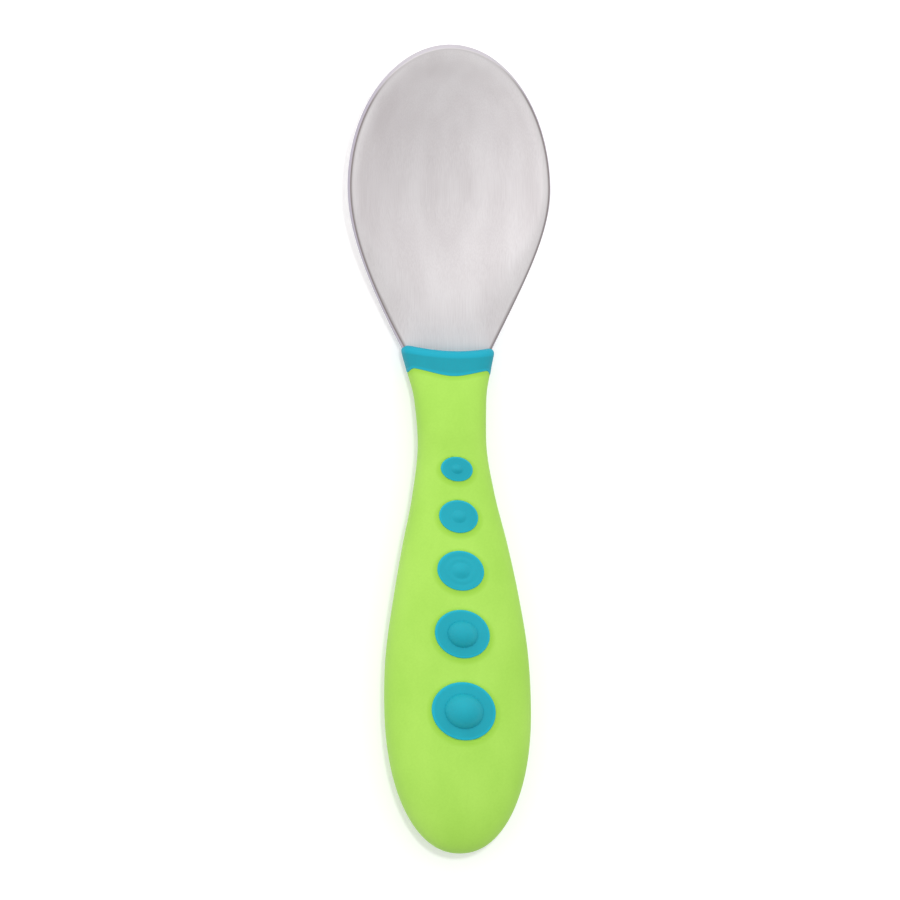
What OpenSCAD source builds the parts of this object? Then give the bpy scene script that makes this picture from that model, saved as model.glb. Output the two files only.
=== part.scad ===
// Baby spoon: a stamped steel bowl whose tang is moulded into a hard core, under a soft
// handle skin with a collar and raised dots. It lies bowl up on a table at z = 0, with its
// length along Y, the bowl towards +Y and the origin under its middle.

/* [Bowl] */
// Length of bare steel, from the tip to the front of the collar
bowl_len = 49.8; // [44:0.2:58]
// Width across the rim at its widest
bowl_w = 34.4; // [29:0.2:38]
// Distance from the tip back to the widest place
bowl_front = 23.8; // [21:0.2:27]
// Thickness of the steel sheet
sheet_t = 1.2; // [1.1:0.1:1.5]
// How much further out the cut edge stands at its underside than at its top
cut_slant = 0.3; // [0:0.05:0.35]
// Height of the middle of the sheet at the rim, where the bowl is widest
rim_z = 8.8; // [7:0.1:10]
// Height of the middle of the sheet at the tip
tip_z = 11.4; // [9:0.1:12.5]
// Height of the middle of the sheet at the neck
neck_z = 3.9; // [3.6:0.1:4.6]
// Width of the steel where it enters the collar
neck_w = 16; // [14:0.1:16.1]
// Width of the flat lip between the hollow and the middle of the edge
lip_w = 0.8; // [0.7:0.1:1.2]

/* [Tang] */
// Length of the tang behind the front of the collar
tang_len = 47; // [42:1:52]
// Width of the tang along the core
tang_w = 5; // [4:0.2:5.4]
// Thickness of the tang
tang_t = 1; // [0.8:0.1:1]
// Width of the tang's shoulders in the collar
shoulder_w = 9; // [7:0.2:10]
// How far the full neck reaches into the collar
neck_in = 1.6; // [1.4:0.1:1.7]
// Distance behind the front of the collar at which the shoulders end
shoulder_end = 8; // [6:0.2:10]
// Radius of the anchor holes through the tang
anchor_r = 1.2; // [0.8:0.1:1.4]
// Distance from the tang's end to the nearest anchor hole
anchor_inset = 5; // [4:0.5:7]
// Distance between anchor holes
anchor_pitch = 12; // [8:0.5:14]
// Number of anchor holes
anchor_n = 3; // [1:1:3]

/* [Handle] */
// Length of the handle, with its collar
handle_len = 85; // [80:0.2:92]
// Distance from the handle's end forward to its widest place
belly_at = 24.6; // [20:0.2:30]
// Width of the handle at the belly
belly_w = 24.6; // [22:0.2:28]
// Thickness of the handle at the belly, before the flat is cut
belly_t = 12.6; // [11:0.1:14]
// Distance from the front of the collar back to the waist
flare_len = 16; // [13:0.2:18]
// Width of the handle at the waist
waist_w = 11.4; // [10.8:0.2:13]
// Thickness of the handle at the waist
waist_t = 8.4; // [7.8:0.1:9.4]
// Height of the middle of the handle at the waist
waist_z = 5.9; // [5.4:0.1:6.4]
// How far the handle arches up between belly and waist
handle_arch = 0.7; // [0.3:0.1:1.2]
// Width of the handle at the collar
collar_w = 15.8; // [15.2:0.1:17]
// Thickness of the handle at the collar
collar_t = 6.6; // [6:0.1:7]
// Thickness of the soft skin over the core
skin_t = 1.5; // [1.2:0.1:1.6]
// Depth of the flat under the belly
flat_depth = 0.3; // [0.2:0.05:0.5]
// Gap left between neighbouring mouldings
fit_gap = 0.02; // [0.01:0.01:0.05]

/* [Collar] */
// Length of the collar along the middle of its top
collar_len = 4.2; // [3.6:0.1:4.6]
// Thickness of the collar's front wall, in front of the core
collar_wall = 2.1; // [1.9:0.1:2.3]
// How far the collar's front edge dips back in the middle
front_dip = 0.7; // [0.5:0.1:1]
// How far the collar's rear edge bows back in the middle
rear_bow = 1.1; // [0.6:0.1:1.4]
// How far the collar's rear edge drops back again at the sides
side_drop = 0.7; // [0.3:0.1:0.9]
// How much further back the collar lies on its right side than on its left
collar_skew = 0.8; // [0:0.1:1]
// How far the collar stands proud of the skin
collar_proud = 0.05; // [0.05:0.05:0.2]
// Radius of the collar's front edge
collar_lip = 1; // [0.6:0.1:1.2]

/* [Dots] */
// Number of dots
dot_n = 5; // [3:1:5]
// Length of the smallest dot's long axis
first_dot_w = 5.4; // [4.8:0.1:6]
// Length of the largest dot's long axis
last_dot_w = 10.9; // [9.5:0.1:12]
// How far each dot stands proud of the skin
dot_proud = 0.25; // [0.25:0.05:0.5]
// Depth of the recess under the middle of each dot
dot_recess = 0.9; // [0.8:0.05:1]
// Radius of each dot's edge
dot_edge = 0.2; // [0.1:0.05:0.2]
// Height of the dome on the largest dot
last_dome_h = 2; // [1.4:0.1:2.4]
// Height of the dome on the smallest dot
first_dome_h = 0.4; // [0.3:0.05:0.7]
// Radius of the stem under each dot
stem_r = 1.1; // [0.8:0.1:1.2]
// Depth of each stem's socket in the core
socket_depth = 1.6; // [1.2:0.1:1.8]

/* [Hidden] */

// Sides of the round stems and holes
round_fn = 32;
// Spare length on each cut
overrun = 1;

// Places along Y
total_len = bowl_len + handle_len;
tip_y = total_len / 2;
end_y = tip_y - total_len;
wide_y = tip_y - bowl_front;
front_y = tip_y - bowl_len;
rear_len = bowl_len - bowl_front;

// Share of the bowl's narrowing at which its shoulders turn straight
shoulder_round_share = 0.9;
// Share of the bowl's length behind its widest place that the hollow takes up
hollow_rear_share = 0.7;
// Shares of the bowl's depth over which its wall bends into the lip, at the sides, at the tip
// and at the rear end of the hollow
bend_share = 0.05;
tip_bend_share = 0.12;
rear_bend_share = 0.8;
// Powers that shape the bowl's hollow and the sheet's edge, the handle's section, and its end
// in plan and side view
bowl_power = 2.2;
edge_power = 5;
section_power = 2.5;
end_power = 2.15;
end_side_power = 2.5;

// The handle's narrowing from the belly forward to the waist, as shares
narrow_shares = [[0, 0], [0.2, 0.06], [0.4, 0.262], [0.6, 0.525], [0.8, 0.83], [1, 1]];
// The handle's flare from the waist forward to the collar, as shares
flare_shares = [[0, 0], [0.25, 0.06], [0.5, 0.22], [0.75, 0.65], [1, 1]];
// Place across the collar's rear edge at which it reaches furthest forward
crest_share = 0.86;

// For each dot, smallest first: how far its size lies on the way to the largest dot's, its
// place along the handle's length, its length along the handle and its dome's width as
// shares of its long axis, and how far its dome's height lies on the way to the largest
dot_size_shares = [0, 0.22, 0.46, 0.72, 1];
dot_place_shares = [0.755, 0.662, 0.556, 0.432, 0.281];
dot_length_shares = [0.75, 0.82, 0.83, 0.85, 0.88];
dome_width_shares = [0.4, 0.4, 0.42, 0.56, 0.61];
dome_height_shares = [0, 0.03, 0.08, 0.7, 1];
// Turn of each dot's long axis, clockwise seen from above, in degrees
dot_turns = [10, 11, 13, 17, 17];

function mix(a, b, share) = a + (b - a) * share;
function ease(t) = t * t * (3 - 2 * t);
function within(low, high, value) = min(high, max(low, value));
function signed_pow(value, power) = sign(value) * pow(abs(value), power);
function unit(v) = v / norm(v);

// A smooth curve through a table of [place, height] shares, level at both ends
function table_slope(table, i) =
    i == 0 || i == len(table) - 1 ? 0
    : (table[i + 1][1] - table[i - 1][1]) / (table[i + 1][0] - table[i - 1][0]);
function table_span(table, t, i = 0) =
    i >= len(table) - 2 || t < table[i + 1][0] ? i : table_span(table, t, i + 1);
function through(table, t) =
    let (
        i = table_span(table, t),
        step = table[i + 1][0] - table[i][0],
        s = (t - table[i][0]) / step
    )
    mix(table[i][1], table[i + 1][1], ease(s))
    + step * table_slope(table, i) * s * (1 - s) * (1 - s)
    - step * table_slope(table, i + 1) * s * s * (1 - s);

// A closed skin over a list of rings with equally many points. Points may repeat, where
// the skin gathers to a pole or an edge. An open end is closed by a cap between the ring's
// upper and lower half. Each quad is split along its shorter diagonal.
function joined(points, a, b, c) =
    points[a] == points[b] || points[b] == points[c] || points[c] == points[a]
    ? [] : [[a, b, c]];
function quad_faces(points, a, b, c, d) =
    norm(points[a] - points[c]) <= norm(points[b] - points[d])
    ? concat(joined(points, a, b, c), joined(points, a, c, d))
    : concat(joined(points, a, b, d), joined(points, b, c, d));
function cap_faces(points, start, n) = [
    for (j = [0:n / 2 - 1])
        let (
            a = start + j,
            b = start + j + 1,
            c = start + (n - j - 1) % n,
            d = start + (n - j) % n
        )
        each quad_faces(points, a, b, c, d)
];
function turned(faces) = [for (face = faces) [face[2], face[1], face[0]]];
module loft(rings, first_cap = false, last_cap = false) {
    n = len(rings[0]);
    last = len(rings) - 1;
    points = [for (ring = rings) each ring];
    sides = [
        for (i = [0:last - 1], j = [0:n - 1])
            let (
                a = i * n + j,
                b = i * n + (j + 1) % n,
                c = b + n,
                d = a + n
            )
            each quad_faces(points, a, b, c, d)
    ];
    polyhedron(points, concat(
        sides,
        first_cap ? turned(cap_faces(points, 0, n)) : [],
        last_cap ? cap_faces(points, last * n, n) : []));
}

// The bowl's middle surface is a height field over the plan. Its rim is half an ellipse in
// front and a hyperbola behind, which runs straight into the neck. Inside the rim is a level
// lip, and inside that an oval hollow that ends before the neck.
edge_r = sheet_t / 2;
mid_front = bowl_front - edge_r;
mid_w = bowl_w / 2 - edge_r;
mid_neck_w = neck_w / 2 - edge_r;
rim_drop = mid_w - mid_neck_w;
rim_round = rim_drop * shoulder_round_share;
rim_slope = sqrt(pow(rim_drop, 2) + 2 * rim_drop * rim_round) / rear_len;
floor_z = edge_r;
hollow_w = mid_w - lip_w;
hollow_front = mid_front - lip_w;
hollow_rear = rear_len * hollow_rear_share;

function rim_reach(y) = sqrt(pow(rim_round, 2) + pow(rim_slope * (wide_y - y), 2));
function rear_half_w(y) = mid_w + rim_round - rim_reach(y);
function rim_height(y) =
    y >= wide_y ? mix(rim_z, level_at_tip, pow((y - wide_y) / mid_front, 2))
    : mix(rim_z, neck_z, ease(within(0, 1, (wide_y - y) / rear_len)));
// Place along the hollow, from 0 at its widest to 1 at its ends
function hollow_along(y) = (y - wide_y) / (y >= wide_y ? hollow_front : -hollow_rear);
function hollow_half_w(y) = hollow_w * sqrt(max(0, 1 - pow(hollow_along(y), 2)));
// Height as a share of the rim's, rounded where the wall bends into the lip
function dish(share, bend) =
    let (
        rise = pow(share, bowl_power),
        near = max(0, 1 - abs(rise - 1) / bend)
    )
    min(1, rise) - bend * pow(near / 2, 2);
// The rim's height at the tip before the bend into the lip, which takes some of it
level_at_tip = floor_z + (tip_z - floor_z) / dish(mid_front / hollow_front, tip_bend_share);
function sheet_point(x, y) =
    let (
        share = norm([x / hollow_w, hollow_along(y)]),
        to_end = share > 0 ? hollow_along(y) / share : 0,
        end_bend = y >= wide_y ? tip_bend_share : rear_bend_share,
        bend = mix(bend_share, end_bend, pow(to_end, 3))
    )
    [x, y, mix(floor_z, rim_height(y), dish(share, bend))];
function sheet_normal(x, y, probe = sheet_t / 100) =
    unit(cross(sheet_point(x + probe, y) - sheet_point(x - probe, y),
               sheet_point(x, y + probe) - sheet_point(x, y - probe)));

// Direction that faces out of the rim in the plan
function rim_way(x, y) =
    y > wide_y
    ? unit([x / pow(mid_w, 2), (y - wide_y) / pow(mid_front, 2), 0])
    : unit([sign(x), pow(rim_slope, 2) * (y - wide_y) / rim_reach(y), 0]);
// Point on the edge of the sheet, a squarish round from its top (90) to its underside (-90)
function edge_point(x, y, turn) =
    let (
        n = sheet_normal(x, y),
        out = unit(cross(cross(n, rim_way(x, y)), n)),
        lift = signed_pow(sin(turn), 2 / edge_power),
        reach = signed_pow(cos(turn), 2 / edge_power)
    )
    sheet_point(x, y) + out * reach * (edge_r - cut_slant * (1 + lift) / 2) + n * lift * edge_r;
// Point on the top (side 1) or the underside (side -1) of the sheet
function face_point(x, y, side) = sheet_point(x, y) + side * edge_r * sheet_normal(x, y);

// Rows of the sheet from the end of the neck to the tip, as [place, half width]
neck_rows = 4;
hollow_rows = 12;
tip_rows = 14;
sheet_rows = concat(
    [for (k = [0:neck_rows - 1])
        let (y = mix(front_y - neck_in, wide_y - hollow_rear, k / neck_rows))
        [y, rear_half_w(y)]],
    [for (k = [hollow_rows:-1:1])
        let (y = wide_y - hollow_rear * sin(90 * k / hollow_rows))
        [y, rear_half_w(y)]],
    [for (k = [tip_rows:-1:0])
        [wide_y + mid_front * cos(90 * k / tip_rows), mid_w * sin(90 * k / tip_rows)]]);

// Closed ring round the sheet at a row: up the right edge, over the top, down the left edge
// and back underneath. Places across the row cross the lip in even steps and gather towards
// the edge of the hollow, where it is steepest.
lip_cols = 3;
wall_cols = 9;
edge_steps = 6;
edge_turn = 180 / edge_steps;
function place_across(y, half, k) =
    k <= lip_cols ? mix(half, hollow_half_w(y), k / lip_cols)
    : hollow_half_w(y) * cos(90 * (k - lip_cols) / wall_cols);
function sheet_ring(y, half) =
    let (
        right = [for (k = [0:lip_cols + wall_cols - 1]) place_across(y, half, k)],
        across = concat(right, [0], [for (k = [len(right) - 1:-1:0]) -right[k]]),
        top = [for (x = across) half > 0 ? face_point(x, y, 1) : edge_point(0, y, 90)],
        under = [for (x = -across) half > 0 ? face_point(x, y, -1) : edge_point(0, y, -90)]
    )
    concat(
        [for (k = [0:edge_steps / 2 - 1]) edge_point(half, y, k * edge_turn)],
        top,
        [for (k = [1:edge_steps - 1]) edge_point(-half, y, 90 - k * edge_turn)],
        under,
        [for (k = [1:edge_steps / 2 - 1]) edge_point(half, y, k * edge_turn - 90)]);

// The handle: sections at a distance from its end, each a flattened ellipse
belly_z = belly_t / 2 - flat_depth;
waist_at = handle_len - flare_len;

function end_rounding(share, power) = pow(1 - pow(1 - within(0, 1, share), power), 1 / power);
function narrowing(at) = through(narrow_shares, (at - belly_at) / (waist_at - belly_at));
function flare(at) = through(flare_shares, within(0, 1, (at - waist_at) / flare_len));
function end_share(at, inset) = (at - inset) / (belly_at - inset);
function half_w(at, inset) =
    at < belly_at ? (belly_w / 2 - inset) * end_rounding(end_share(at, inset), end_power)
    : at < waist_at ? mix(belly_w, waist_w, narrowing(at)) / 2 - inset
    : mix(waist_w, collar_w, flare(at)) / 2 - inset;
function half_t(at, inset) =
    at < belly_at ? (belly_t / 2 - inset) * end_rounding(end_share(at, inset), end_side_power)
    : at < waist_at ? mix(belly_t, waist_t, narrowing(at)) / 2 - inset
    : mix(waist_t, collar_t, ease(within(0, 1, (at - waist_at) / flare_len))) / 2 - inset;
function mid_z(at) =
    let (arch_turn = 180 * (at - belly_at) / (waist_at - belly_at))
    at < belly_at ? belly_z
    : at < waist_at ? mix(belly_z, waist_z, narrowing(at)) + handle_arch * pow(sin(arch_turn), 2)
    : mix(waist_z, neck_z, ease(within(0, 1, (at - waist_at) / flare_len)));
function top_z(x, at) =
    let (share = min(1, abs(x) / half_w(at, 0)))
    mid_z(at) + half_t(at, 0) * pow(1 - pow(share, section_power), 1 / section_power);

// Point on the handle's section, moved in by the inset, at a turn about its middle
function handle_point(at, turn, inset) = [
    half_w(at, inset) * signed_pow(cos(turn), 2 / section_power),
    end_y + at,
    mid_z(at) + half_t(at, inset) * signed_pow(sin(turn), 2 / section_power)
];
// Share of the half width at which a turn lies
function side_share(turn) = pow(abs(cos(turn)), 2 / section_power);

// The collar's edges, as distances from the handle's end at each turn
collar_rear_at = handle_len - front_dip - collar_len;
core_front_at = handle_len - collar_wall;
// How far back a place on the collar's edges lies because the collar sits askew
function skewed_back(turn) = collar_skew * (1 + sign(cos(turn)) * side_share(turn)) / 2;
function rear_at(turn) =
    let (
        bow = min(1, side_share(turn) / crest_share),
        drop = max(0, side_share(turn) - crest_share) / (1 - crest_share)
    )
    collar_rear_at + rear_bow * bow * bow * (2 - bow) - side_drop * pow(drop, 2)
    - skewed_back(turn);
function front_at(turn) =
    handle_len - front_dip * (1 - pow(side_share(turn), 2)) - skewed_back(turn);

around = 40;
turns = [for (j = [0:around - 1]) 360 * j / around];
function level_ring(at, inset) = [for (turn = turns) handle_point(at, turn, inset)];
function rear_edge_ring(inset, ahead) =
    [for (turn = turns) handle_point(rear_at(turn) + ahead, turn, inset)];
// Rings from the rounded end forward to the collar's rear edge
function handle_rings(inset, end_steps, body_steps) = concat(
    [for (k = [0:end_steps])
        level_ring(mix(inset, belly_at, 1 - cos(90 * k / end_steps)), inset)],
    [for (k = [1:body_steps])
        [for (turn = turns)
            handle_point(mix(belly_at, rear_at(turn), k / body_steps), turn, inset)]]);

skin_end_steps = 10;
skin_body_steps = 28;
core_end_steps = 7;
core_body_steps = 14;

// The dots: each is an ellipse in plan that follows the handle's top
dot_sides = 32;
dome_steps = 4;
dome_power = 0.6;
// Width of the hollow round each dome, as a share of the dot's half width
dome_foot_share = 0.05;
function dot_at(i) = handle_len * dot_place_shares[i];
function dot_w(i) = mix(first_dot_w, last_dot_w, dot_size_shares[i]);
function dome_h(i) = mix(first_dome_h, last_dome_h, dome_height_shares[i]);
function dot_floor(i) = top_z(0, dot_at(i)) - dot_recess;
// Outline of a dot in plan, drawn in by a share of its size, with a margin added
function dot_outline(i, share, margin = 0) =
    let (
        long = dot_w(i) / 2 * share + margin,
        short = dot_w(i) * dot_length_shares[i] / 2 * share + margin,
        way = -dot_turns[i]
    )
    [for (j = [0:dot_sides - 1])
        let (
            x = long * cos(-360 * j / dot_sides),
            y = short * sin(-360 * j / dot_sides)
        )
        [x * cos(way) - y * sin(way), end_y + dot_at(i) + x * sin(way) + y * cos(way)]];
function dot_ring(i, share, lift) = [
    for (p = dot_outline(i, share)) [p[0], p[1], top_z(p[0], p[1] - end_y) + lift]
];
function dot_rings(i) =
    let (
        edge_share = 2 * dot_edge / (dot_w(i) * dot_length_shares[i]),
        dome_share = dome_width_shares[i],
        chamfer = dot_edge * (1 - sin(45))
    )
    concat(
        [[for (j = [1:dot_sides]) [0, end_y + dot_at(i), dot_floor(i)]]],
        [[for (p = dot_outline(i, 1)) [p[0], p[1], dot_floor(i)]]],
        [dot_ring(i, 1, dot_proud - dot_edge)],
        [dot_ring(i, 1 - edge_share * (1 - sin(45)), dot_proud - chamfer)],
        [dot_ring(i, 1 - edge_share, dot_proud)],
        [dot_ring(i, dome_share + dome_foot_share, dot_proud)],
        [for (k = [1:dome_steps])
            let (q = cos(90 * k / (dome_steps + 1)))
            dot_ring(i, dome_share * q, dot_proud + dome_h(i) * pow(1 - q * q, dome_power))],
        [dot_ring(i, 0, dot_proud + dome_h(i))]);

// Flat plate of the tang with its anchor holes, made larger all round by a margin
tang_lap = neck_in / 2;
tang_end = front_y - tang_len;
tang_tilt = atan2(mid_z(handle_len - tang_len) - neck_z, tang_len);
module tang_plate(margin) {
    shoulder_y = front_y - neck_in + tang_lap;
    translate([0, front_y, neck_z])
        rotate([-tang_tilt, 0, 0])
        translate([0, -front_y, -tang_t / 2 - margin])
        difference() {
            linear_extrude(tang_t + 2 * margin) {
                polygon([
                    [-shoulder_w / 2 - margin, shoulder_y],
                    [-shoulder_w / 2 - margin, front_y - neck_in - margin],
                    [-tang_w / 2 - margin, front_y - shoulder_end],
                    [-tang_w / 2 - margin, tang_end + tang_w / 2],
                    [tang_w / 2 + margin, tang_end + tang_w / 2],
                    [tang_w / 2 + margin, front_y - shoulder_end],
                    [shoulder_w / 2 + margin, front_y - neck_in - margin],
                    [shoulder_w / 2 + margin, shoulder_y]
                ]);
                translate([0, tang_end + tang_w / 2])
                    circle(r = tang_w / 2 + margin, $fn = round_fn);
            }
            for (k = [0:anchor_n - 1])
                translate([0, tang_end + anchor_inset + k * anchor_pitch, -overrun])
                    cylinder(r = anchor_r - margin, h = tang_t + 2 * overrun + 2 * margin,
                             $fn = round_fn);
        }
}

// Space that the flat neck and its edges take up inside the collar
module neck_slot() {
    start = front_y + overrun;
    stop = front_y - neck_in - edge_r * rim_slope - fit_gap;
    edge_w = edge_r * sqrt(1 + pow(rim_slope, 2)) + fit_gap;
    translate([0, 0, neck_z - edge_r - fit_gap])
        linear_extrude(sheet_t + 2 * fit_gap)
        polygon([
            [-rear_half_w(start) - edge_w, start],
            [-rear_half_w(stop) - edge_w, stop],
            [rear_half_w(stop) + edge_w, stop],
            [rear_half_w(start) + edge_w, start]
        ]);
}

// Stamped steel: bowl, neck and tang in one sheet
module spoon_blade() {
    color("silver") {
        loft([for (row = sheet_rows) sheet_ring(row[0], row[1])], first_cap = true);
        tang_plate(0);
    }
}

// Stem of a dot, from below the skin up into its underside
module dot_stem(i, margin, top) {
    bottom = top_z(0, dot_at(i)) - skin_t - socket_depth - margin;
    translate([0, end_y + dot_at(i), bottom])
        cylinder(r = stem_r + margin, h = top - bottom, $fn = round_fn);
}

// Hard core moulded round the tang, with a socket under each dot
module handle_core() {
    front = level_ring(core_front_at, skin_t + fit_gap);
    color("ivory")
        difference() {
            loft(concat(handle_rings(skin_t + fit_gap, core_end_steps, core_body_steps), [front]),
                 last_cap = true);
            tang_plate(fit_gap);
            for (i = [0:dot_n - 1])
                dot_stem(i, fit_gap, top_z(0, dot_at(i)));
        }
}

// Collar round the neck: a cup over the front of the core, slotted for the steel
module neck_collar() {
    skin_steps = 3;
    lip_steps = 3;
    skin = [
        for (k = [0:skin_steps])
            [for (turn = turns)
                handle_point(mix(rear_at(turn) + fit_gap, front_at(turn) - collar_lip,
                                 k / skin_steps), turn, -collar_proud)]
    ];
    lip = [
        for (k = [1:lip_steps])
            let (
                back = collar_lip * (1 - sin(90 * k / lip_steps)),
                inset = collar_lip * (1 - cos(90 * k / lip_steps))
            )
            [for (turn = turns) handle_point(front_at(turn) - back, turn, inset - collar_proud)]
    ];
    color("darkturquoise")
        difference() {
            loft(concat([level_ring(core_front_at + fit_gap, skin_t)],
                        [rear_edge_ring(skin_t, fit_gap)], skin, lip),
                 first_cap = true, last_cap = true);
            neck_slot();
            tang_plate(fit_gap);
        }
}

// Soft skin over the core, flat under the belly and recessed for each dot
module grip() {
    core_space = handle_rings(skin_t, core_end_steps, core_body_steps);
    core_n = len(core_space) - 1;
    color("yellowgreen")
        difference() {
            loft(concat(handle_rings(0, skin_end_steps, skin_body_steps),
                        [for (k = [core_n:-1:0]) core_space[k]]));
            translate([-belly_w / 2 - overrun, end_y - overrun, -belly_t])
                cube([belly_w + 2 * overrun, handle_len + 2 * overrun, belly_t]);
            for (i = [0:dot_n - 1]) {
                translate([0, 0, dot_floor(i) - fit_gap])
                    linear_extrude(dot_recess + overrun)
                    polygon(dot_outline(i, 1, fit_gap));
                dot_stem(i, fit_gap, top_z(0, dot_at(i)));
            }
        }
}

// Raised dot with a dome, on a stem that holds it in the core
module grip_dot(i) {
    color("darkturquoise") {
        loft(dot_rings(i));
        dot_stem(i, 0, dot_floor(i) + dot_edge);
    }
}

spoon_blade();
handle_core();
neck_collar();
grip();
for (i = [0:dot_n - 1])
    grip_dot(i);
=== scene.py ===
"""Looks for the baby spoon: a satin steel bowl, a blue collar and a green soft handle with dots.

Sizes are in millimetres and are turned into metres where a mesh is made. The spoon lies along
Y, bowl towards +Y, on the floor at z = 0. The shapes follow the same formulas as the CAD part,
at a finer step, with the rounded edges and small forms that a coarse solid leaves out.
"""
import math

import bmesh
import bpy
import numpy as np
from mathutils import Matrix, Vector


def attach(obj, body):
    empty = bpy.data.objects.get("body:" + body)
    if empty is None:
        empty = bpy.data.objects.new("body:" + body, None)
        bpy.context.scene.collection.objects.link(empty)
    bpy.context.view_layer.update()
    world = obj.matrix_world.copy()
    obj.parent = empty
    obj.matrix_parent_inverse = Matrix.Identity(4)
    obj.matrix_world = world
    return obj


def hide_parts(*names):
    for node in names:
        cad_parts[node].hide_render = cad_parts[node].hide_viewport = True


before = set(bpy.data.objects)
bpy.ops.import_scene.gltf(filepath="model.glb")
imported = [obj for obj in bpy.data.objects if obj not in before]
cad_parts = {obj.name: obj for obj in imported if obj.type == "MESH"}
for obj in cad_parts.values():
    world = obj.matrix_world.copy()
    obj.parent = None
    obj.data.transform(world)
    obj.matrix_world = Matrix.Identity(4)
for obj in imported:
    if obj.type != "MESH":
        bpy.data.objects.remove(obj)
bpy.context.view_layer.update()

MM = 0.001

# ---------------------------------------------------------------- sizes of the bowl
BOWL_LEN = 49.8
BOWL_W = 34.4
BOWL_FRONT = 23.8
SHEET_T = 1.2
CUT_SLANT = 0.3
FADE_W = 1.2  # over which the smooth finish of the rim fades
DARK_REFLECTION_TURNS = (38, 52)  # degrees up round the cut edge where the painted dark reflection line starts; the cut edge's grey lies below it
DARK_REFLECTION_W = 0.16  # how far the painted dark reflection line reaches in over the lip
TIP_FADE_SHARES = (0.55, 0.95)  # of the way to the tip, where the painted dark reflection line fades out and the cut edge's grey drops to half
RIM_Z = 8.8
TIP_Z = 11.4
NECK_Z = 3.9
NECK_W = 16.0
NECK_IN = 1.6
LIP_W = 0.8
SHOULDER_ROUND_SHARE = 0.9
HOLLOW_REAR_SHARE = 0.7
BEND_SHARE = 0.05
TIP_BEND_SHARE = 0.12
REAR_BEND_SHARE = 0.8
BOWL_POWER = 2.2
EDGE_POWER = 5

# ---------------------------------------------------------------- sizes of the tang
TANG_LEN = 47.0
TANG_W = 5.0
TANG_T = 1.0
TANG_RIM = 0.1
SHOULDER_W = 9.0
SHOULDER_END = 8.0
ANCHOR_R = 1.2
ANCHOR_INSET = 5.0
ANCHOR_PITCH = 12.0
ANCHOR_N = 3

# ---------------------------------------------------------------- sizes of the handle
HANDLE_LEN = 85.0
BELLY_AT = 24.6
BELLY_W = 24.6
BELLY_T = 12.6
FLARE_LEN = 16.0
WAIST_W = 11.4
WAIST_T = 8.4
WAIST_Z = 5.9
HANDLE_ARCH = 0.7
COLLAR_W = 15.8
COLLAR_T = 6.6
SKIN_T = 1.5
FLAT_DEPTH = 0.3
FLAT_ROUND = 0.04  # softness of the corner round the flat
SECTION_POWER = 2.5
END_POWER = 2.15
END_SIDE_POWER = 2.5
NARROW_SHARES = ((0, 0), (0.2, 0.06), (0.4, 0.262), (0.6, 0.525), (0.8, 0.83), (1, 1))
FLARE_SHARES = ((0, 0), (0.25, 0.06), (0.5, 0.22), (0.75, 0.65), (1, 1))

# ---------------------------------------------------------------- sizes of the collar
COLLAR_LEN = 4.2
COLLAR_WALL = 2.1
FRONT_DIP = 0.7
REAR_BOW = 1.1
SIDE_DROP = 0.7
COLLAR_SKEW = 0.8
CREST_SHARE = 0.86
COLLAR_PROUD = 0.05
COLLAR_LIP = 1.0
REAR_LIP = 0.1
REAR_FADE_SHARE = 0.3  # of the collar's length, over which the painted highlight of its edges fades
FRONT_FADE_SHARE = 0.2
COLLAR_SHADE_W = 1.6  # of the painted shade on the skin beside the collar

# ---------------------------------------------------------------- sizes of the dots
FIRST_DOT_W = 5.4
LAST_DOT_W = 10.9
DOT_SIZE_SHARES = (0, 0.22, 0.46, 0.72, 1)
DOT_PLACE_SHARES = (0.755, 0.662, 0.556, 0.432, 0.281)
DOT_LENGTH_SHARES = (0.75, 0.82, 0.83, 0.85, 0.88)
DOT_TURNS = (10, 11, 13, 17, 17)
DOME_WIDTH_SHARES = (0.4, 0.4, 0.42, 0.56, 0.61)
DOME_HEIGHTS = (0.38, 0.38, 0.4, 1.52, 2.0)
DOME_POWERS = (1.4, 1.4, 1.5, 0.66, 0.66)
RIPPLE_HEIGHTS = (0, 0, 0.04, 0, 0)
RIPPLE_END_SHARE = 0.86
DOT_PROUD = 0.25
DOT_RECESS = 0.9
RECESS_SHARES = (0.86, 0.97)  # of the way out, where the recess under a dot ends
DOT_EDGE = 0.2
DOT_FADE_SHARES = (0.04, 0.14)  # in from the edge, where its painted highlight fades
DOT_SHADE_W = 1.8  # of the painted shade on the skin round a dot
DOT_SHADE_BACK = 0.35  # how far the painted shade is moved towards the handle's end, the side a dot's shadow falls on
STEM_R = 1.1
SOCKET_DEPTH = 1.6
DOT_N = len(DOT_TURNS)

# ---------------------------------------------------------------- places
TOTAL_LEN = BOWL_LEN + HANDLE_LEN
TIP_Y = TOTAL_LEN / 2
END_Y = -TIP_Y
WIDE_Y = TIP_Y - BOWL_FRONT
FRONT_Y = TIP_Y - BOWL_LEN
REAR_LEN = BOWL_LEN - BOWL_FRONT
EDGE_R = SHEET_T / 2
MID_FRONT = BOWL_FRONT - EDGE_R
MID_W = BOWL_W / 2 - EDGE_R
RIM_DROP = MID_W - (NECK_W / 2 - EDGE_R)
RIM_ROUND = RIM_DROP * SHOULDER_ROUND_SHARE
HOLLOW_W = MID_W - LIP_W
HOLLOW_FRONT = MID_FRONT - LIP_W
HOLLOW_REAR = REAR_LEN * HOLLOW_REAR_SHARE
RIM_SLOPE = math.sqrt(RIM_DROP**2 + 2 * RIM_DROP * RIM_ROUND) / REAR_LEN
BELLY_Z = BELLY_T / 2 - FLAT_DEPTH
WAIST_AT = HANDLE_LEN - FLARE_LEN
COLLAR_REAR_AT = HANDLE_LEN - FRONT_DIP - COLLAR_LEN


# ---------------------------------------------------------------- small helpers
def mix(a, b, share):
    return a + (b - a) * share


def ease(t):
    return t * t * (3 - 2 * t)


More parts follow.
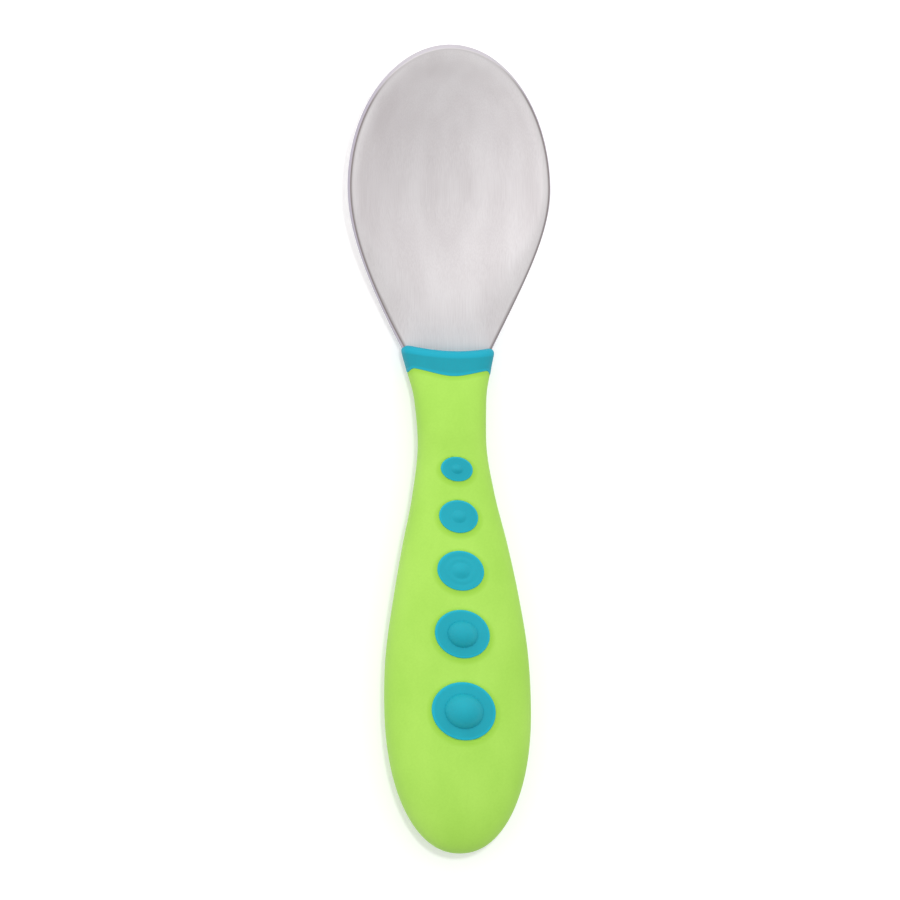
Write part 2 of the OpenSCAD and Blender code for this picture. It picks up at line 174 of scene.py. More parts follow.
def ramp(low, high, value):
    """0 below low, 1 above high and a smooth step between."""
    return ease(np.clip((value - low) / (high - low), 0, 1))


def signed_pow(value, power):
    return np.sign(value) * np.abs(value) ** power


def unit(v):
    return v / np.linalg.norm(v, axis=-1, keepdims=True)


def through(table, t):
    """A smooth curve through a table of (place, height) shares, level at both ends."""
    places, heights = np.array(table, float).T
    slopes = np.zeros(len(places))
    slopes[1:-1] = (heights[2:] - heights[:-2]) / (places[2:] - places[:-2])
    i = np.clip(np.searchsorted(places, t, side="right") - 1, 0, len(places) - 2)
    step = places[i + 1] - places[i]
    s = (t - places[i]) / step
    return (
        mix(heights[i], heights[i + 1], ease(s))
        + step * slopes[i] * s * (1 - s) ** 2
        - step * slopes[i + 1] * s * s * (1 - s)
    )


def quarter(steps):
    """Turns from 0 to a right angle."""
    return np.linspace(0, math.pi / 2, steps + 1)


def points(x, y, z):
    """Arrays of coordinates joined into one array of points."""
    return np.stack(np.broadcast_arrays(x, y, z), axis=-1).astype(float)


# ---------------------------------------------------------------- mesh making
def add_object(name, data):
    """A new object in the scene that holds a mesh, curve, lamp or camera."""
    found = bpy.data.objects.new(name, data)
    bpy.context.scene.collection.objects.link(found)
    return found


def skin_piece(name, rings, first_cap=False, sharp_deg=50, **attributes):
    """A mesh over rings of equally many points, in millimetres. Each attribute gives one
    number for each point."""
    rings = np.asarray(rings, float)
    count, around = rings.shape[:2]
    faces = []
    for i in range(count - 1):
        for j in range(around):
            a, b = i * around + j, i * around + (j + 1) % around
            faces.append((a, b, b + around, a + around))
    if first_cap:
        faces.append(tuple(range(around))[::-1])
    mesh = bpy.data.meshes.new(name)
    mesh.from_pydata(rings.reshape(-1, 3) * MM, [], faces)
    for key, numbers in attributes.items():
        values = mesh.attributes.new(key, "FLOAT", "POINT")
        values.data.foreach_set("value", np.asarray(numbers, np.float32).ravel())
    piece = add_object(name, mesh)
    weld(piece)
    mesh.shade_smooth()
    mesh.set_sharp_from_angle(angle=math.radians(sharp_deg))
    return piece


def weld(piece, reach=0.002 * MM):
    """Joins points that lie on each other, at poles and edges, and turns all faces outward."""
    work = bmesh.new()
    work.from_mesh(piece.data)
    bmesh.ops.remove_doubles(work, verts=work.verts, dist=reach)
    bmesh.ops.dissolve_degenerate(work, edges=work.edges, dist=reach / 10)
    bmesh.ops.recalc_face_normals(work, faces=work.faces)
    work.to_mesh(piece.data)
    work.free()


def finish_piece(piece, slot, material, *nodes):
    """Gives a piece its material and its body, and hides the CAD nodes it stands for. The slot is
    not used.
    """
    piece.data.materials.clear()
    piece.data.materials.append(material)
    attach(piece, "root")
    if nodes:
        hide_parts(*nodes)


# ---------------------------------------------------------------- bowl
def rim_reach(y):
    return np.sqrt(RIM_ROUND**2 + (RIM_SLOPE * (WIDE_Y - y)) ** 2)


def rear_half_w(y):
    return MID_W + RIM_ROUND - rim_reach(y)


def hollow_along(y):
    """Place along the hollow, from 0 at its widest to 1 at its ends."""
    return np.where(y >= WIDE_Y, (y - WIDE_Y) / HOLLOW_FRONT, (WIDE_Y - y) / HOLLOW_REAR)


def hollow_half_w(y):
    return HOLLOW_W * np.sqrt(np.maximum(0, 1 - hollow_along(y) ** 2))


def rim_height(y):
    front = mix(RIM_Z, LEVEL_AT_TIP, ((y - WIDE_Y) / MID_FRONT) ** 2)
    rear = mix(RIM_Z, NECK_Z, ease(np.clip((WIDE_Y - y) / REAR_LEN, 0, 1)))
    return np.where(y >= WIDE_Y, front, rear)


def dish(share, bend):
    """Height as a share of the rim's, rounded where the wall bends into the lip."""
    rise = share**BOWL_POWER
    near = np.maximum(0, 1 - np.abs(rise - 1) / bend)
    return np.minimum(1, rise) - bend * (near / 2) ** 2


# the rim's height at the tip before the bend into the lip, which takes some of it
LEVEL_AT_TIP = EDGE_R + (TIP_Z - EDGE_R) / dish(MID_FRONT / HOLLOW_FRONT, TIP_BEND_SHARE)


def sheet_point(x, y):
    """Middle of the sheet: an oval hollow inside a level lip that runs back into the neck."""
    along = hollow_along(y)
    share = np.hypot(x / HOLLOW_W, along)
    end_bend = np.where(y >= WIDE_Y, TIP_BEND_SHARE, REAR_BEND_SHARE)
    bend = mix(BEND_SHARE, end_bend, (along / np.maximum(share, 1e-9)) ** 3)
    return points(x, y, mix(EDGE_R, rim_height(y), dish(share, bend)))


def sheet_normal(x, y, probe=SHEET_T / 100):
    across = sheet_point(x + probe, y) - sheet_point(x - probe, y)
    along = sheet_point(x, y + probe) - sheet_point(x, y - probe)
    return unit(np.cross(across, along))


def rim_way(x, y):
    """Direction that faces out of the rim in plan."""
    ahead = points(x / MID_W**2, (y - WIDE_Y) / MID_FRONT**2, 0)
    behind = points(np.sign(x), RIM_SLOPE**2 * (y - WIDE_Y) / rim_reach(y), 0)
    return unit(np.where((y > WIDE_Y)[..., None], ahead, behind))


def edge_points(x, y, turns):
    """The sheet's edge, a squarish round from its top (90 degrees) to its underside (-90)."""
    normal = sheet_normal(x, y)
    out = unit(np.cross(np.cross(normal, rim_way(x, y)), normal))
    turns = np.radians(np.asarray(turns, float))[:, None]
    lift = signed_pow(np.sin(turns), 2 / EDGE_POWER)
    reach = signed_pow(np.cos(turns), 2 / EDGE_POWER) * (EDGE_R - CUT_SLANT * (1 + lift) / 2)
    return sheet_point(x, y) + out * reach + normal * lift * EDGE_R


def places_across(y, half, lip_cols=26, wall_cols=46):
    """Places across a row: even steps over the lip, then closer at the edge of the hollow."""
    hollow = hollow_half_w(y)
    lip = mix(half, hollow, np.linspace(0, 1, lip_cols, endpoint=False))
    wall = hollow * np.cos(np.linspace(0, math.pi / 2, wall_cols, endpoint=False))
    right = np.concatenate([lip, wall])
    return np.concatenate([right, [0], -right[::-1]])


def sheet_rows(neck_rows=30, hollow_rows=64, tip_rows=64):
    """Rows of the sheet from the end of the neck to the tip, as places and half widths."""
    hollow_end = WIDE_Y - HOLLOW_REAR
    turns = np.linspace(math.pi / 2, 0, hollow_rows, endpoint=False)
    behind = np.concatenate([
        np.linspace(FRONT_Y - NECK_IN, hollow_end, neck_rows, endpoint=False),
        WIDE_Y - HOLLOW_REAR * np.sin(turns),
    ])
    turns = np.linspace(math.pi / 2, 0, tip_rows + 1)
    return (
        np.concatenate([behind, WIDE_Y + MID_FRONT * np.cos(turns)]),
        np.concatenate([rear_half_w(behind), MID_W * np.sin(turns)]),
    )


def build_bowl():
    """The bowl and neck. Its attributes: "edge" is 1 on the rim and fades over the lip, a
    painted dark reflection is 1 where the lip turns over into the cut edge and fades towards
    the tip, and "cut" is 1 below that."""
    cut_steps = 24
    up = np.linspace(-90, 90, cut_steps + 1)[1:-1]
    rings, edges, corners, cuts = [], [], [], []
    for y, half in zip(*sheet_rows()):
        x = places_across(y, half)
        ys = np.full_like(x, y)
        middle, lift = sheet_point(x, ys), EDGE_R * sheet_normal(x, ys)
        right = edge_points(np.array([half]), np.array([y]), up)
        left = edge_points(np.array([-half]), np.array([y]), -up)
        rings.append(np.concatenate([right, middle + lift, left, (middle - lift)[::-1]]))
        near = 1 - ramp(0, FADE_W, half - np.abs(x))
        on, off = np.ones(len(up)), np.zeros(len(x))
        edges.append(np.concatenate([on, near, on, near[::-1]]))
        shown = 1 - ramp(*TIP_FADE_SHARES, (y - WIDE_Y) / MID_FRONT)
        # Painted dark reflection along the corner of the cut edge, fading towards the tip.
        corner = shown * ramp(*DARK_REFLECTION_TURNS, up)
        over = shown * (1 - ramp(-DARK_REFLECTION_W, DARK_REFLECTION_W, half - np.abs(x)))
        corners.append(np.concatenate([corner, over, corner[::-1], off]))
        cut = (1 + shown) / 2 * (1 - ramp(*DARK_REFLECTION_TURNS, up))
        cuts.append(np.concatenate([cut, off, cut[::-1], off]))
    return skin_piece("blade_sheet", rings, first_cap=True, edge=edges, corner=corners, cut=cuts)


def build_tang():
    """The flat tang inside the handle, with its anchor holes, as a filled outline."""
    curve = bpy.data.curves.new("blade_tang", "CURVE")
    curve.dimensions = "2D"
    curve.fill_mode = "BOTH"
    curve.extrude = (TANG_T / 2 - TANG_RIM) * MM
    curve.bevel_depth = TANG_RIM * MM
    curve.bevel_resolution = 2
    half, shoulder = TANG_W / 2 - TANG_RIM, SHOULDER_W / 2 - TANG_RIM
    shoulder_y, end_y = FRONT_Y - NECK_IN, FRONT_Y - TANG_LEN
    side = [(shoulder, shoulder_y), (half, FRONT_Y - SHOULDER_END), (half, end_y + TANG_W / 2)]
    turns = np.radians(np.arange(10, 171, 10))
    end = [(half * math.cos(t), end_y + TANG_W / 2 - half * math.sin(t)) for t in turns]
    outline = side + end + [(-x, y) for x, y in side[::-1]]
    loops = [outline]
    turns = np.linspace(0, 2 * math.pi, 32, endpoint=False)
    r = ANCHOR_R + TANG_RIM
    for k in range(ANCHOR_N):
        y = end_y + ANCHOR_INSET + k * ANCHOR_PITCH
        loops.append([(r * math.cos(t), y + r * math.sin(t)) for t in turns])
    for loop in loops:
        spline = curve.splines.new("POLY")
        spline.points.add(len(loop) - 1)
        for point, (x, y) in zip(spline.points, loop):
            point.co = (x * MM, (y - FRONT_Y) * MM, 0, 1)
        spline.use_cyclic_u = True
    tang = add_object("blade_tang", curve)
    tilt = math.atan2(float(mid_z(np.array(HANDLE_LEN - TANG_LEN))) - NECK_Z, TANG_LEN)
    place = Matrix.Translation(Vector((0, FRONT_Y, NECK_Z)) * MM)
    tang.matrix_world = place @ Matrix.Rotation(-tilt, 4, "X")
    return tang


# ---------------------------------------------------------------- handle
def end_rounding(share, power):
    return (1 - (1 - np.clip(share, 0, 1)) ** power) ** (1 / power)


def blended(at, inset, belly, waist, collar, flare, power):
    """A half size of the handle at a distance from its end."""
    end = (belly / 2 - inset) * end_rounding((at - inset) / (BELLY_AT - inset), power)
    narrow = through(NARROW_SHARES, np.clip((at - BELLY_AT) / (WAIST_AT - BELLY_AT), 0, 1))
    body = mix(belly, waist, narrow) / 2 - inset
    front = mix(waist, collar, flare) / 2 - inset
    return np.where(at < BELLY_AT, end, np.where(at < WAIST_AT, body, front))


def flare_share(at):
    return np.clip((at - WAIST_AT) / FLARE_LEN, 0, 1)


def half_w(at, inset=0):
    flare = through(FLARE_SHARES, flare_share(at))
    return blended(at, inset, BELLY_W, WAIST_W, COLLAR_W, flare, END_POWER)


def half_t(at, inset=0):
    flare = ease(flare_share(at))
    return blended(at, inset, BELLY_T, WAIST_T, COLLAR_T, flare, END_SIDE_POWER)


def mid_z(at):
    share = np.clip((at - BELLY_AT) / (WAIST_AT - BELLY_AT), 0, 1)
    arch = HANDLE_ARCH * np.sin(math.pi * share) ** 2
    body = mix(BELLY_Z, WAIST_Z, through(NARROW_SHARES, share)) + arch
    front = mix(WAIST_Z, NECK_Z, ease(flare_share(at)))
    return np.where(at < WAIST_AT, body, front)


def top_z(x, at):
    share = np.minimum(1, np.abs(x) / np.maximum(half_w(at), 1e-6))
    return mid_z(at) + half_t(at) * (1 - share**SECTION_POWER) ** (1 / SECTION_POWER)


def handle_points(at, turns, inset=0):
    """Points on the handle's flattened section, moved in by the inset."""
    at = np.broadcast_to(np.asarray(at, float), turns.shape)
    return points(
        half_w(at, inset) * signed_pow(np.cos(turns), 2 / SECTION_POWER),
        END_Y + at,
        mid_z(at) + half_t(at, inset) * signed_pow(np.sin(turns), 2 / SECTION_POWER),
    )


def side_share(turns):
    return np.abs(np.cos(turns)) ** (2 / SECTION_POWER)


def skewed_back(turns):
    """How far back a place on the collar's edges lies because it sits askew."""
    return COLLAR_SKEW * (1 + np.sign(np.cos(turns)) * side_share(turns)) / 2


def rear_at(turns):
    """The collar's wavy rear edge, as a distance from the handle's end."""
    share = side_share(turns)
    bow = np.minimum(1, share / CREST_SHARE)
    drop = np.maximum(0, share - CREST_SHARE) / (1 - CREST_SHARE)
    wave = REAR_BOW * bow * bow * (2 - bow) - SIDE_DROP * drop**2
    return COLLAR_REAR_AT + wave - skewed_back(turns)


def front_at(turns):
    return HANDLE_LEN - FRONT_DIP * (1 - side_share(turns) ** 2) - skewed_back(turns)


def section_turns(around, fine_steps=4000):
    """Turns that put the points of a section at even steps, as its corners are tighter."""
    fine = np.linspace(0, 2 * math.pi, fine_steps + 1)
    x = signed_pow(np.cos(fine), 2 / SECTION_POWER) * BELLY_W
    z = signed_pow(np.sin(fine), 2 / SECTION_POWER) * BELLY_T
    walked = np.concatenate([[0], np.cumsum(np.hypot(np.diff(x), np.diff(z)))])
    return np.interp(np.linspace(0, walked[-1], around, endpoint=False), walked, fine)


def dot_share(i, x, y):
    """How far a place in plan lies from a dot's middle, as a share of its outline."""
    way = math.radians(-DOT_TURNS[i])
    y = y - END_Y - dot_at(i)
    long = (x * math.cos(way) + y * math.sin(way)) / (dot_w(i) / 2)
    short = (y * math.cos(way) - x * math.sin(way)) / (dot_w(i) * DOT_LENGTH_SHARES[i] / 2)
    return np.hypot(long, short)


def build_grip():
    """The soft skin, with a recess under each dot and a rounded edge at the collar. Its attribute
    of painted shade is 1 beside the collar and the dots and fades away from them, a painted
    contact shadow."""
    end_steps, body_steps, around, lip_steps = 56, 230, 176, 5
    core_end_steps, core_body_steps = 24, 80
    turns = section_turns(around)
    rear = rear_at(turns)
    rings = [
        handle_points(BELLY_AT * (1 - math.cos(k)), turns)
        for k in quarter(end_steps)
    ]
    for k in np.linspace(0, 1, body_steps + 1)[1:]:
        rings.append(handle_points(mix(BELLY_AT, rear - REAR_LIP, k), turns))
    outer = len(rings)
    for k in quarter(lip_steps)[1:]:
        back, inset = REAR_LIP * (1 - math.sin(k)), REAR_LIP * (1 - math.cos(k))
        rings.append(handle_points(rear - back, turns, inset))
    for k in np.linspace(1, 0, core_body_steps + 1):
        rings.append(handle_points(mix(BELLY_AT, rear, k), turns, SKIN_T))
    for k in quarter(core_end_steps)[-2::-1]:
        rings.append(handle_points(mix(SKIN_T, BELLY_AT, 1 - math.cos(k)), turns, SKIN_T))
    rings = np.array(rings)
    skin = rings[:outer]
    over = skin[..., 2] > BELLY_Z / 2
    for i in range(DOT_N):
        under_dot = 1 - ramp(*RECESS_SHARES, dot_share(i, skin[..., 0], skin[..., 1]))
        skin[..., 2] -= np.where(over, DOT_RECESS * under_dot, 0)
    skin[..., 2] = (skin[..., 2] + np.sqrt(skin[..., 2] ** 2 + FLAT_ROUND**2)) / 2
    # Painted shade beside the collar and round each dot, moved towards the handle's end like a
    # contact shadow.
    seam = 1 - ramp(0, COLLAR_SHADE_W, rear - (rings[..., 1] - END_Y))
    for i in range(DOT_N):
        out = (dot_share(i, rings[..., 0], rings[..., 1] + DOT_SHADE_BACK) - 1) * dot_w(i) / 2
        seam = np.maximum(seam, (1 - ramp(0, DOT_SHADE_W, out)) * (rings[..., 2] > BELLY_Z / 2))
    return skin_piece("grip_skin", rings, sharp_deg=60, seam=seam)


def build_collar():
    """The collar: proud of the skin, with small round edges and a full front wall. Its attribute
    "edge" is 1 on its round edges and fades over its face and down its front wall, and carries a
    painted highlight.
    """
    around, skin_steps, lip_steps, wall_steps = 176, 16, 8, 10
    turns = section_turns(around)
    rear, front = rear_at(turns), front_at(turns)
    rings = [handle_points(at, turns, SKIN_T) for at in (HANDLE_LEN - COLLAR_WALL, rear)]
    edges = [0, 0]
    for k in quarter(lip_steps):
        ahead, inset = REAR_LIP * (1 - math.cos(k)), REAR_LIP * (1 - math.sin(k))
        rings.append(handle_points(rear + ahead, turns, inset - COLLAR_PROUD))
        edges.append(1)
    for k in np.linspace(0, 1, skin_steps + 1)[1:]:
        at = mix(rear + REAR_LIP, front - COLLAR_LIP, k)
        rings.append(handle_points(at, turns, -COLLAR_PROUD))
        edges.append(max(1 - ramp(0, REAR_FADE_SHARE, k), ramp(1 - FRONT_FADE_SHARE, 1, k)))
    for k in quarter(lip_steps)[1:]:
        at = front - COLLAR_LIP * (1 - math.sin(k))
        rings.append(handle_points(at, turns, COLLAR_LIP * (1 - math.cos(k)) - COLLAR_PROUD))
        edges.append(1)
    for k in np.linspace(0, 1, wall_steps + 1)[1:]:
        rings.append(wall_ring(front, turns, COLLAR_LIP - COLLAR_PROUD, k))
        edges.append(1 - k)
    edges = np.repeat(np.array(edges, float)[:, None], around, axis=1)
    return skin_piece("collar_skin", rings, first_cap=True, edge=edges, sharp_deg=40)


def wall_ring(front, turns, inset, share):
    """A ring of the collar's front wall, drawn in towards a line across its middle."""
    ring = handle_points(front, turns, inset)
    ring[:, 2] = mix(ring[:, 2], NECK_Z, share)
    return ring


# ---------------------------------------------------------------- dots
def dot_at(i):
    return HANDLE_LEN * DOT_PLACE_SHARES[i]


def dot_w(i):
    return mix(FIRST_DOT_W, LAST_DOT_W, DOT_SIZE_SHARES[i])


def dot_outline(i, share, turns):
    """Plan of a dot drawn in by a share of its size."""
    way = math.radians(-DOT_TURNS[i])
    x = dot_w(i) / 2 * share * np.cos(turns)
    y = dot_w(i) * DOT_LENGTH_SHARES[i] / 2 * share * np.sin(turns)
    along = x * math.sin(way) + y * math.cos(way)
    return x * math.cos(way) - y * math.sin(way), END_Y + dot_at(i) + along


def dot_lift(i, share):
    """Height of a dot's face over the skin at a share of the way out from its middle."""
    dome = DOME_WIDTH_SHARES[i]
    inside = np.clip(1 - (share / dome) ** 2, 0, 1)
    lift = DOT_PROUD + DOME_HEIGHTS[i] * inside ** DOME_POWERS[i]
    wave = (share - dome) / (RIPPLE_END_SHARE - dome)
    if 0 < wave < 1:
        lift += RIPPLE_HEIGHTS[i] * math.sin(2 * math.pi * wave) * math.sin(math.pi * wave)
    return lift


def build_dot(i):
    """A dot: its stem, a round edge and a face with a dome. Its attribute "edge" is 1 on the
    edge and fades over the face, and carries a painted highlight."""
    sides, edge_steps, face_steps, dome_steps = 96, 6, 22, 26
    turns = np.linspace(0, 2 * math.pi, sides, endpoint=False)
    floor = float(top_z(np.array(0.0), np.array(dot_at(i)))) - DOT_RECESS
    bottom = floor + DOT_RECESS - SKIN_T - SOCKET_DEPTH
    rings, edges = [], []

    def add(x, y, z, edge=0.0):
        rings.append(points(x, y, z))
        edges.append(np.full(sides, edge))

    for r, z in ((0, bottom), (STEM_R, bottom), (STEM_R, floor)):
        add(r * np.cos(turns), END_Y + dot_at(i) + r * np.sin(turns), np.full(sides, z))
    add(*dot_outline(i, 1, turns), np.full(sides, floor))
    edge_share = 2 * DOT_EDGE / (dot_w(i) * DOT_LENGTH_SHARES[i])
    profile = []
    for k in quarter(edge_steps):
        lift = DOT_PROUD - DOT_EDGE * (1 - math.sin(k))
        profile.append((1 - edge_share * (1 - math.cos(k)), lift, 1))
    dome = DOME_WIDTH_SHARES[i]
    for share in np.linspace(1 - edge_share, dome, face_steps + 1)[1:]:
        near = 1 - ramp(*DOT_FADE_SHARES, 1 - share)
        profile.append((share, dot_lift(i, share), near))
    for k in quarter(dome_steps)[1:]:
        share = dome * math.cos(k)
        profile.append((share, dot_lift(i, share), 0))
    for share, lift, near in profile:
        x, y = dot_outline(i, share, turns)
        add(x, y, top_z(x, y - END_Y) + lift, near)
    return skin_piece(f"dot_{i + 1}", rings, edge=edges, sharp_deg=40)


# ---------------------------------------------------------------- levels of the light
FLOOR_GREY = 0.86
FLOOR_LIFT = 0.3  # light that the floor seems to give off, so that only shadow shows on it
WALL_TOP = (0.0, 0.5)  # sine of the height at which the walls end and the full ceiling starts
WALL_LEVEL = 0.86
CEILING_LEVEL = 0.97
BRIGHT_SIDE = (-0.2, 0.9, 0.3)
SIDE_LEVELS = (0.32, 1.35)  # the room's levels away from its bright side and towards it
GLOSS_SIDE = (-0.3, 0.5, -0.6)
GLOSS_LEVELS = (1.03, 2.42)  # what reflections see away from that side and towards it


# ---------------------------------------------------------------- materials
class Nodes:
    """The node tree of a material or the world, with short calls for the nodes they share."""

    def __init__(self, owner):
        self.owner = owner
        owner.use_nodes = True
        self.tree = owner.node_tree
        self.tree.nodes.clear()

    def add(self, kind, **settings):
        node = self.tree.nodes.new(kind)
        for key, value in settings.items():
            setattr(node, key, value)
        return node

    def set(self, socket, value):
        """Links an output to an input, or writes a plain value to it."""
        if isinstance(value, bpy.types.NodeSocket):
            self.tree.links.new(value, socket)
        else:
            socket.default_value = value

    def place(self, scale):
        """Object coordinates in millimetres, divided by the size of one feature along each axis."""
        coords = self.add("ShaderNodeTexCoord")
        mapping = self.add("ShaderNodeMapping")
        self.set(mapping.inputs["Vector"], coords.outputs["Object"])
        mapping.inputs["Scale"].default_value = [1 / (MM * s) for s in scale]
        return mapping.outputs["Vector"]

    def noise(self, scale, detail=2.0, rough=0.5):
        node = self.add("ShaderNodeTexNoise")
        self.set(node.inputs["Vector"], self.place(scale))
        node.inputs["Scale"].default_value = 1
        node.inputs["Detail"].default_value = detail
        node.inputs["Roughness"].default_value = rough
        return node.outputs["Fac"]

    def spread(self, value, low, high, to_low=0.0, to_high=1.0, kind="LINEAR"):
        """A value between low and high, spread over another range and held to it."""
        node = self.add("ShaderNodeMapRange", interpolation_type=kind)
        self.set(node.inputs["Value"], value)
        self.set(node.inputs["From Min"], low)
        self.set(node.inputs["From Max"], high)
        self.set(node.inputs["To Min"], to_low)
        self.set(node.inputs["To Max"], to_high)
        return node.outputs["Result"]

    def blend(self, factor, a, b, kind="RGBA"):
        """From a to b by a factor. The node keeps a set of sockets for each kind of value."""
        node = self.add("ShaderNodeMix", data_type=kind)
        first, result = {"RGBA": (6, 2), "FLOAT": (2, 0)}[kind]
        self.set(node.inputs[0], factor)
        self.set(node.inputs[first], a)
        self.set(node.inputs[first + 1], b)
        return node.outputs[result]

    def math(self, operation, a, b=0.0):
        node = self.add("ShaderNodeMath", operation=operation)
        self.set(node.inputs[0], a)
        self.set(node.inputs[1], b)
        return node.outputs[0]

    def attribute(self, name):
        return self.add("ShaderNodeAttribute", attribute_name=name).outputs["Fac"]

    def bump(self, height, depth):
        """Bump whose height runs from 0 to 1 over a depth in millimetres."""
        node = self.add("ShaderNodeBump")
        self.set(node.inputs["Height"], height)
        node.inputs["Distance"].default_value = depth * MM
        node.inputs["Strength"].default_value = 1
        return node.outputs["Normal"]

    def shader(self, **sockets):
        """The Principled shader with these sockets, as the material's surface."""
        principled = self.add("ShaderNodeBsdfPrincipled")
        for name, value in sockets.items():
            self.set(principled.inputs[name.replace("_", " ")], value)
        self.surface(principled.outputs["BSDF"], "ShaderNodeOutputMaterial")
        return self.owner

    def surface(self, shader, kind):
        self.set(self.add(kind).inputs["Surface"], shader)

    def towards(self, way, side, low, high, span=0.8):
        """From low to high as a direction turns from facing away from a side to facing it."""
        node = self.add("ShaderNodeVectorMath", operation="DOT_PRODUCT")
        self.set(node.inputs[0], way)
        node.inputs[1].default_value = Vector(side).normalized()
        return self.spread(node.outputs["Value"], -span, span, low, high)

    def any_of(self, *names):
        """1 for a ray of any of these kinds, such as "Is Camera Ray"."""
        path = self.add("ShaderNodeLightPath")
        found = path.outputs[names[0]]
        for name in names[1:]:
            found = self.math("MAXIMUM", found, path.outputs[name])
        return found


def new_material(name):
    return Nodes(bpy.data.materials.new(name))


def rgb(red, green, blue):
    """A colour as it is seen, out of 255, in the linear values that shaders take."""
    linear = [((c / 255 + 0.055) / 1.055) ** 2.4 for c in (red, green, blue)]
    return (*linear, 1.0)


def steel():
    """Satin steel brushed along the spoon, with a smoother rim, a cut edge in a cooler grey and
    a painted dark reflection: a darker line where the lip turns over into it."""
    n = new_material("satin_steel")
    lip = n.spread(n.attribute("edge"), 0.75, 1)
    lines = n.noise((0.12, 9, 0.12), detail=3, rough=0.6)
    patches = n.noise((5, 16, 5), detail=2)
    tone = n.math("ADD", n.math("MULTIPLY", lines, 0.5), n.math("MULTIPLY", patches, 0.5))
    colour = n.blend(n.spread(tone, 0.35, 0.65), rgb(225, 221, 222), rgb(233, 230, 231))
    colour = n.blend(lip, colour, rgb(219, 215, 216))
    colour = n.blend(n.attribute("cut"), colour, rgb(187, 181, 193))
    # Painted dark reflection where the lip turns over into the cut edge.
    colour = n.blend(n.attribute("corner"), colour, rgb(150, 142, 142))
    rough = n.spread(tone, 0.3, 0.7, 0.8, 0.7)
    rough = n.blend(lip, rough, 0.6, "FLOAT")
    return n.shader(
        Base_Color=colour,
        Metallic=1.0,
        Roughness=rough,
        Normal=n.bump(lines, 0.004),
    )


def soft_plastic(name, dark, light, attribute, painted_light_colour):
    """Matt soft elastomer: a fine moulded grain, a faint unevenness of colour, and painted light
    where the attribute marks it: painted shade on the green, a painted highlight on the blue edges."""
    n = new_material(name)
    clouds = n.noise((7, 12, 7), detail=3)
    specks = n.noise((0.35, 0.35, 0.35), detail=2)
    tone = n.math("ADD", n.math("MULTIPLY", clouds, 0.7), n.math("MULTIPLY", specks, 0.3))
    colour = n.blend(n.spread(tone, 0.35, 0.65), dark, light)
    colour = n.blend(n.spread(n.attribute(attribute), 0.4, 1, 0, 0.8), colour, painted_light_colour)
    return n.shader(
        Base_Color=colour,
        Roughness=n.spread(specks, 0.3, 0.7, 0.52, 0.66),
        Specular_IOR_Level=0.4,
        Normal=n.bump(specks, 0.006),
    )


def hard_plastic():
    """Moulded plastic of the core, with a faint grain."""
    n = new_material("core_plastic")
    grain = n.noise((0.5, 0.5, 0.5), detail=2)
    colour = n.blend(n.spread(grain, 0.3, 0.7), rgb(226, 225, 216), rgb(234, 233, 226))
    return n.shader(Base_Color=colour, Roughness=0.45, Normal=n.bump(grain, 0.004))


def floor_material():
    """White floor that stays white to the camera and keeps the spoon's shadow."""
    n = new_material("white_floor")
    diffuse = n.add("ShaderNodeBsdfDiffuse")
    diffuse.inputs["Color"].default_value = (FLOOR_GREY, FLOOR_GREY, FLOOR_GREY, 1)
    lift = n.add("ShaderNodeEmission")
    seen = n.any_of("Is Camera Ray", "Is Glossy Ray", "Is Transmission Ray")
    n.set(lift.inputs["Strength"], n.math("MULTIPLY", seen, FLOOR_LIFT))
    both = n.add("ShaderNodeAddShader")
    n.set(both.inputs[0], diffuse.outputs[0])
    n.set(both.inputs[1], lift.outputs[0])
    n.surface(both.outputs[0], "ShaderNodeOutputMaterial")
    return n.owner


# ---------------------------------------------------------------- studio, in metres
FLOOR_REACH = 3.0
FLOOR_GAP = 0.01 * MM
KEY_PLACE = (-0.05, 0.14, 1.2)
KEY_W = 0.1
KEY_WATTS = 3.6


def build_floor():
    side = FLOOR_REACH
    mesh = bpy.data.meshes.new("floor")
    corners = [(-side, -side, 0), (side, -side, 0), (side, side, 0), (-side, side, 0)]
    mesh.from_pydata(corners, [], [(0, 1, 2, 3)])
    mesh.materials.append(floor_material())
    floor = add_object("floor", mesh)
    floor.location.z = -FLOOR_GAP


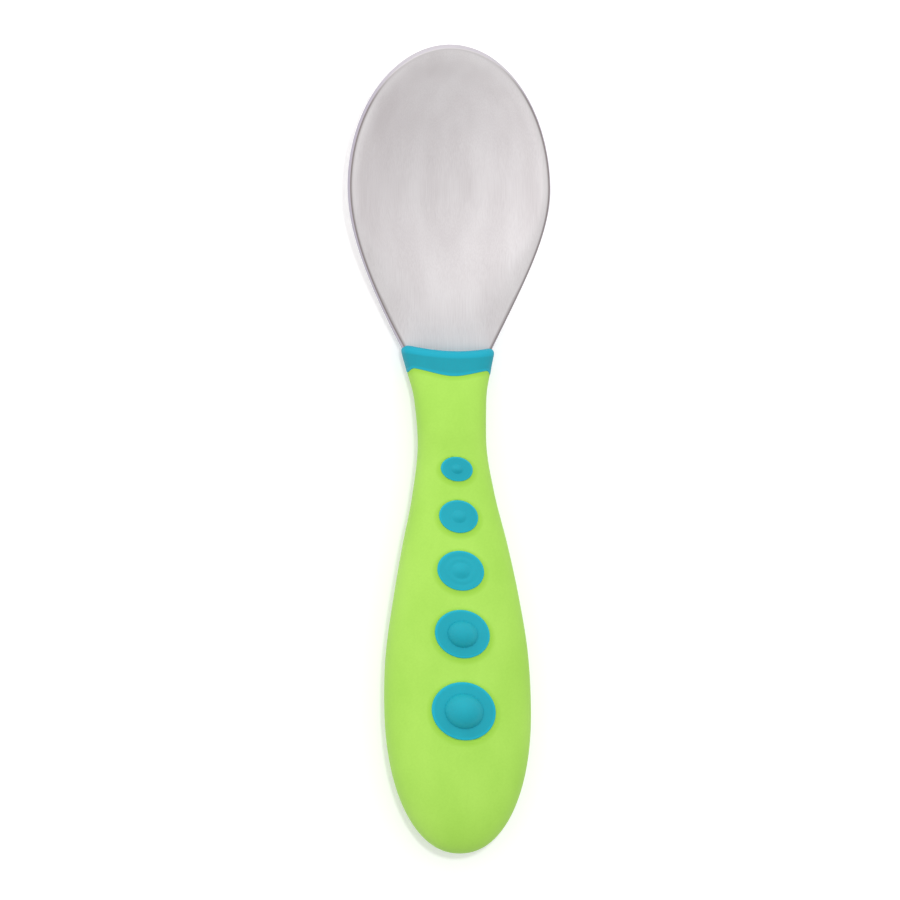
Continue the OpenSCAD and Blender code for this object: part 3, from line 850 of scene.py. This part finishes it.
def build_world():
    """A soft room: a bright ceiling, brightest towards the tip of the spoon, over dimmer walls.
    It is plain white to the camera. Reflections see it brighter low down, past the tip and at
    the left."""
    world = bpy.data.worlds.new("studio")
    bpy.context.scene.world = world
    n = Nodes(world)
    way = n.add("ShaderNodeTexCoord").outputs["Generated"]
    split = n.add("ShaderNodeSeparateXYZ")
    n.set(split.inputs[0], way)
    ceiling = n.spread(split.outputs["Z"], *WALL_TOP, WALL_LEVEL, CEILING_LEVEL, kind="SMOOTHSTEP")
    level = n.math("MULTIPLY", ceiling, n.towards(way, BRIGHT_SIDE, *SIDE_LEVELS))
    gloss_level = n.towards(way, GLOSS_SIDE, *GLOSS_LEVELS)
    level = n.blend(n.any_of("Is Glossy Ray"), level, gloss_level, "FLOAT")
    level = n.blend(n.any_of("Is Camera Ray"), level, 1.0, "FLOAT")
    background = n.add("ShaderNodeBackground")
    n.set(background.inputs["Strength"], level)
    n.surface(background.outputs[0], "ShaderNodeOutputWorld")


def build_key():
    """A small round lamp over the spoon, which does not show in reflections."""
    lamp = bpy.data.lights.new("key", "AREA")
    lamp.shape = "DISK"
    lamp.size = KEY_W
    lamp.energy = KEY_WATTS
    key = add_object("key", lamp)
    key.location = KEY_PLACE
    key.rotation_euler = (-Vector(KEY_PLACE)).to_track_quat("-Z", "Y").to_euler()
    key.visible_glossy = False


def build_camera():
    """Looks down from the left of the spoon through a long lens, with a slight roll. Lengths
    are in millimetres."""
    picture_w, distance, sensor_w = 150.4, 1800.0, 36
    from_left, roll = math.radians(9.6), -0.021
    target = Vector((-0.04, -0.02, 4.0))
    lens = bpy.data.cameras.new("camera")
    lens.sensor_width = sensor_w
    lens.lens = sensor_w * distance / picture_w
    lens.clip_end = 10
    turn = Matrix.Rotation(-from_left, 4, "Y") @ Matrix.Rotation(roll, 4, "Z")
    away = turn @ Vector((0, 0, distance))
    camera = add_object("camera", lens)
    camera.matrix_world = Matrix.Translation((target + away) * MM) @ turn
    bpy.context.scene.camera = camera


# ---------------------------------------------------------------- the scene
steel_material = steel()
# The green's last colour is painted shade beside the collar and the dots.
green = soft_plastic(
    "green_elastomer", rgb(171, 225, 86), rgb(181, 233, 96), "seam", rgb(158, 214, 64))
# The dots' last colour is a painted highlight along their edges.
blue = soft_plastic(
    "blue_elastomer", rgb(12, 163, 181), rgb(22, 173, 191), "edge", rgb(12, 182, 208))
# The collar's blue is the dots' blue made darker, as painted shade against the light its sloped
# face catches. Its last colour is a painted highlight along its edges.
shaded_collar_blue = soft_plastic(
    "collar_elastomer_shaded", rgb(4, 152, 170), rgb(14, 162, 180), "edge", rgb(10, 176, 202))

finish_piece(build_bowl(), "steel", steel_material, "spoon_blade")
finish_piece(build_tang(), "steel", steel_material)
finish_piece(build_collar(), "blue_soft", shaded_collar_blue, "neck_collar")
finish_piece(build_grip(), "green_soft", green, "grip")
for index in range(DOT_N):
    finish_piece(build_dot(index), "blue_soft", blue, f"grip_dot_{index + 1}")

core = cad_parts["handle_core"]
core.data.materials.clear()
core.data.materials.append(hard_plastic())

build_floor()
build_world()
build_key()
build_camera()
bpy.context.scene.view_settings.view_transform = "Standard"
